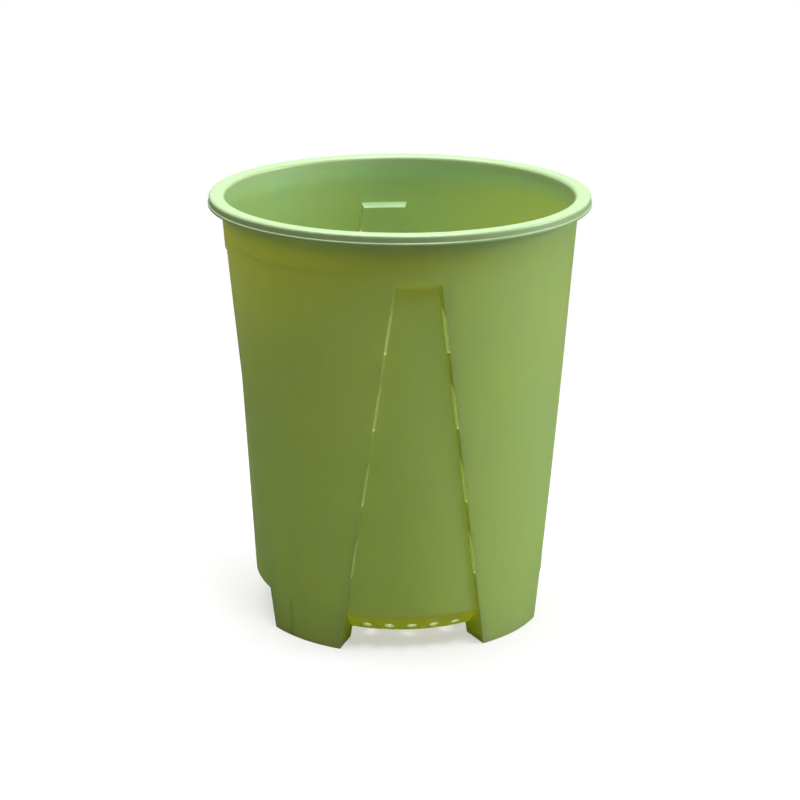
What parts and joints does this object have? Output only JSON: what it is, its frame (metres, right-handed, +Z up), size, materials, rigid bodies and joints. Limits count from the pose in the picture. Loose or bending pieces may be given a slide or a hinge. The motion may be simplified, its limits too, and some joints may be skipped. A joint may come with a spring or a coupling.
{
  "type": "flower pot",
  "caption": "Round tapered flower pot with a rolled lip, slotted vent panels set back in its wall, a raised base with drain holes, and hollow feet.",
  "frame": {"origin": "on the ground, on the pot's axis, below the middle of the rim", "axes": "+Z up along the pot's axis; the front vent panel faces -Y and the right one +X"},
  "size_m": [0.16, 0.16, 0.182],
  "materials": {
    "green_plastic": "satin moulded polypropylene, slightly translucent"
  },
  "bodies": {
    "root": {"rim": "green_plastic", "collar": "green_plastic", "base_plate": "green_plastic", "vent_panel_front": "green_plastic", "vent_panel_right": "green_plastic", "vent_panel_back": "green_plastic", "vent_panel_left": "green_plastic", "wall_stave_front_right": "green_plastic", "wall_stave_back_right": "green_plastic", "wall_stave_back_left": "green_plastic", "wall_stave_front_left": "green_plastic", "foot_front_right": "green_plastic", "foot_back_right": "green_plastic", "foot_back_left": "green_plastic", "foot_front_left": "green_plastic"}
  },
  "joints": []
}
